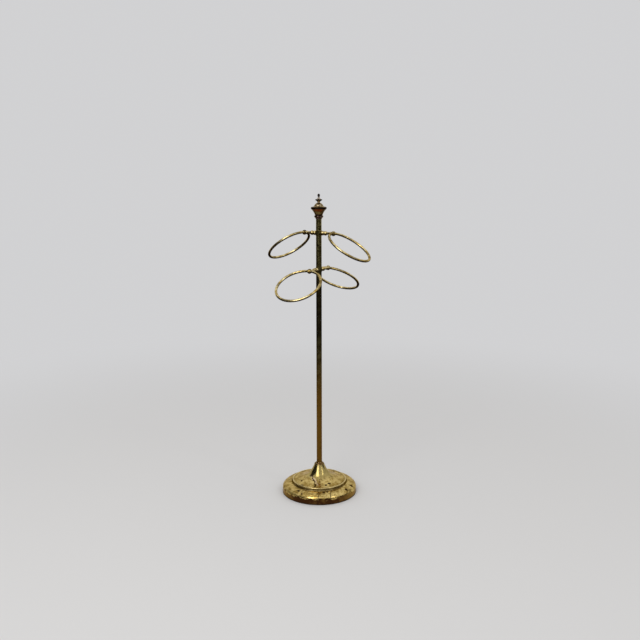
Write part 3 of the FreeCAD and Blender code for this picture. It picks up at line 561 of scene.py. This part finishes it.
def add_floor():
    """A pale floor that turns into the backdrop's colour with distance, so no horizon shows."""
    turns = [math.tau * side / FLOOR_SIDES for side in range(FLOOR_SIDES)]
    points = [
        (FLOOR_RADIUS * math.cos(turn), FLOOR_RADIUS * math.sin(turn), 0.0) for turn in turns
    ]
    face = tuple(range(FLOOR_SIDES))
    floor = new_stage("floor", points, [face], FLOOR_COLOUR, FLOOR_ROUGHNESS)
    tree = floor.data.materials[0].node_tree
    nodes, links = tree.nodes, tree.links
    # With no gloss it mirrors no dark screen.
    nodes["Principled BSDF"].inputs["Specular IOR Level"].default_value = 0.0
    place = nodes.new("ShaderNodeTexCoord")
    reach = nodes.new("ShaderNodeVectorMath")
    reach.operation = "LENGTH"
    links.new(place.outputs["Object"], reach.inputs[0])
    fade = nodes.new("ShaderNodeMapRange")
    fade.interpolation_type = "SMOOTHSTEP"
    fade.inputs["From Min"].default_value, fade.inputs["From Max"].default_value = FLOOR_FADE
    links.new(reach.outputs["Value"], fade.inputs["Value"])
    glow = nodes.new("ShaderNodeEmission")
    glow.inputs["Color"].default_value = (*WORLD_LOW, 1.0)
    blend = nodes.new("ShaderNodeMixShader")
    near, far = blend.inputs[1], blend.inputs[2]
    links.new(fade.outputs["Result"], blend.inputs["Fac"])
    links.new(nodes["Principled BSDF"].outputs["BSDF"], near)
    links.new(glow.outputs["Emission"], far)
    links.new(blend.outputs["Shader"], nodes["Material Output"].inputs["Surface"])


def add_card(name, start, end, height, colour):
    """A dark screen and mat on the camera's side, which show only in reflections."""
    points = []
    for step in range(CARD_STEPS + 1):
        way = heading_at(start + (end - start) * step / CARD_STEPS)
        points.append(way * MAT_START + Vector((0, 0, MAT_HEIGHT)))
        points.append(way * CARD_RADIUS + Vector((0, 0, MAT_HEIGHT)))
        points.append(way * CARD_RADIUS + Vector((0, 0, height)))
    faces = []
    for first in range(0, 3 * CARD_STEPS, 3):  # each step adds three points
        faces.append((first, first + 1, first + 4, first + 3))
        faces.append((first + 1, first + 2, first + 5, first + 4))
    card = new_stage(name, points, faces, colour, CARD_ROUGHNESS)
    card.visible_camera = False
    card.visible_diffuse = False
    card.visible_shadow = False


def add_world():
    """An even backdrop that is brighter overhead."""
    world = bpy.data.worlds.new("studio")
    bpy.context.scene.world = world
    world.use_nodes = True
    nodes = world.node_tree.nodes
    links = world.node_tree.links
    direction = nodes.new("ShaderNodeTexCoord").outputs["Generated"]
    split = nodes.new("ShaderNodeSeparateXYZ")
    links.new(direction, split.inputs[0])
    rise = nodes.new("ShaderNodeMapRange")
    rise.interpolation_type = "SMOOTHSTEP"
    rise.inputs["From Min"].default_value, rise.inputs["From Max"].default_value = WORLD_RISE
    links.new(split.outputs["Z"], rise.inputs["Value"])
    blend = nodes.new("ShaderNodeMix")
    blend.data_type = "RGBA"
    links.new(rise.outputs["Result"], blend.inputs[MIX_SHARE])
    blend.inputs[MIX_FIRST].default_value = (*WORLD_LOW, 1.0)
    blend.inputs[MIX_SECOND].default_value = (*WORLD_HIGH, 1.0)
    links.new(blend.outputs[MIX_RESULT], nodes["Background"].inputs["Color"])


def add_lamp(name, azimuth, elevation, size, power):
    """A soft rectangular lamp aimed at the stand."""
    data = bpy.data.lights.new(name, "AREA")
    data.shape = "RECTANGLE"
    data.size, data.size_y = size
    data.energy = power
    lamp = bpy.data.objects.new(name, data)
    rise = math.radians(elevation)
    away = heading_at(azimuth) * math.cos(rise) + Vector((0.0, 0.0, math.sin(rise)))
    lamp.location = LAMP_AIM + away * LAMP_DISTANCE
    lamp.rotation_euler = away.to_track_quat("Z", "Y").to_euler()
    bpy.context.collection.objects.link(lamp)


def dress(nodes, material):
    for name in nodes:
        for slot in frame["nodes"][name].material_slots:
            slot.material = material


add_camera()
add_floor()
for card_name, card in CARDS.items():
    add_card(card_name, *card)
add_world()
for lamp_name, lamp in LAMPS.items():
    add_lamp(lamp_name, *lamp)

ARMS = ("upper_left", "upper_right", "lower_front", "lower_rear")
# Each brass: the pieces that wear it, its two tones, the colour of its stain and painted shade, its
# marks and painted light, and its texture.
BRASS = {
    "base_brass": (
        ["base_shell"],
        (BASE_BRIGHT, BASE_DULL, DARK_BROWN, base_patina_and_painted_light),
        {"mottle": 0.015, "dent": 0.00006},
    ),
    "collar_brass": (
        ["neck_collar"],
        (COLLAR_GOLD, COLLAR_BROWN, NEAR_BLACK, no_patina),
        {"mottle": 0.006},
    ),
    "pole_brass": (
        ["lower_tube", "middle_tube", "upper_tube", "lower_hub", "upper_hub"],
        (POLE_HIGH, POLE_DULL, NEAR_BLACK, pole_tarnish_and_reflection),
        {"mottle": 0.012, "gloss": 0.2},
    ),
    "arm_brass": (
        [f"{arm}_arm" for arm in ARMS],
        (CREAM_BRASS, GOLD_BRASS, RING_STAIN_AND_SHADE, arm_stain_and_painted_underside),
        {"mottle": 0.006},
    ),
    "ring_brass": (
        [f"{arm}_ring" for arm in ARMS],
        (CREAM_BRASS, GOLD_BRASS, RING_STAIN_AND_SHADE, ring_stain_and_painted_underside),
        {"mottle": 0.014},
    ),
    "finial_collar_brass": (
        ["finial_collar"],
        (PLUM, DARK_BROWN, NEAR_BLACK, no_patina),
        {"mottle": 0.005},
    ),
    "finial_cup_brass": (
        ["finial_cup"],
        (CUP_BROWN, DARK_BROWN, NEAR_BLACK, cup_stain_and_reflection),
        {"mottle": 0.007},
    ),
    "finial_dome_brass": (
        ["finial_dome"],
        (DOME_BRONZE, DOME_BROWN, DARK_BROWN, dome_top_highlight),
        {"mottle": 0.006, "gloss": 0.16},
    ),
    "finial_knob_brass": (
        ["finial_knob"],
        (KNOB_BRONZE, KNOB_BROWN, NEAR_BLACK, knob_patina),
        {"mottle": 0.005},
    ),
}
for brass_name, (pieces, looks, texture) in BRASS.items():
    dress(pieces, aged_brass(brass_name, *looks, **texture))

dress(["felt_pad"], plain_material("felt_weave", FELT_GREEN, roughness=1.0))
dress(["base_weight"], plain_material("black_iron", IRON_BLACK, roughness=0.7))
dress(
    ["base_washer", "base_nut", "tie_rod", "cup_nut"],
    plain_material("zinc_steel", ZINC_GREY, roughness=0.35, metallic=1.0),
)

bpy.context.scene.view_settings.view_transform = "Standard"
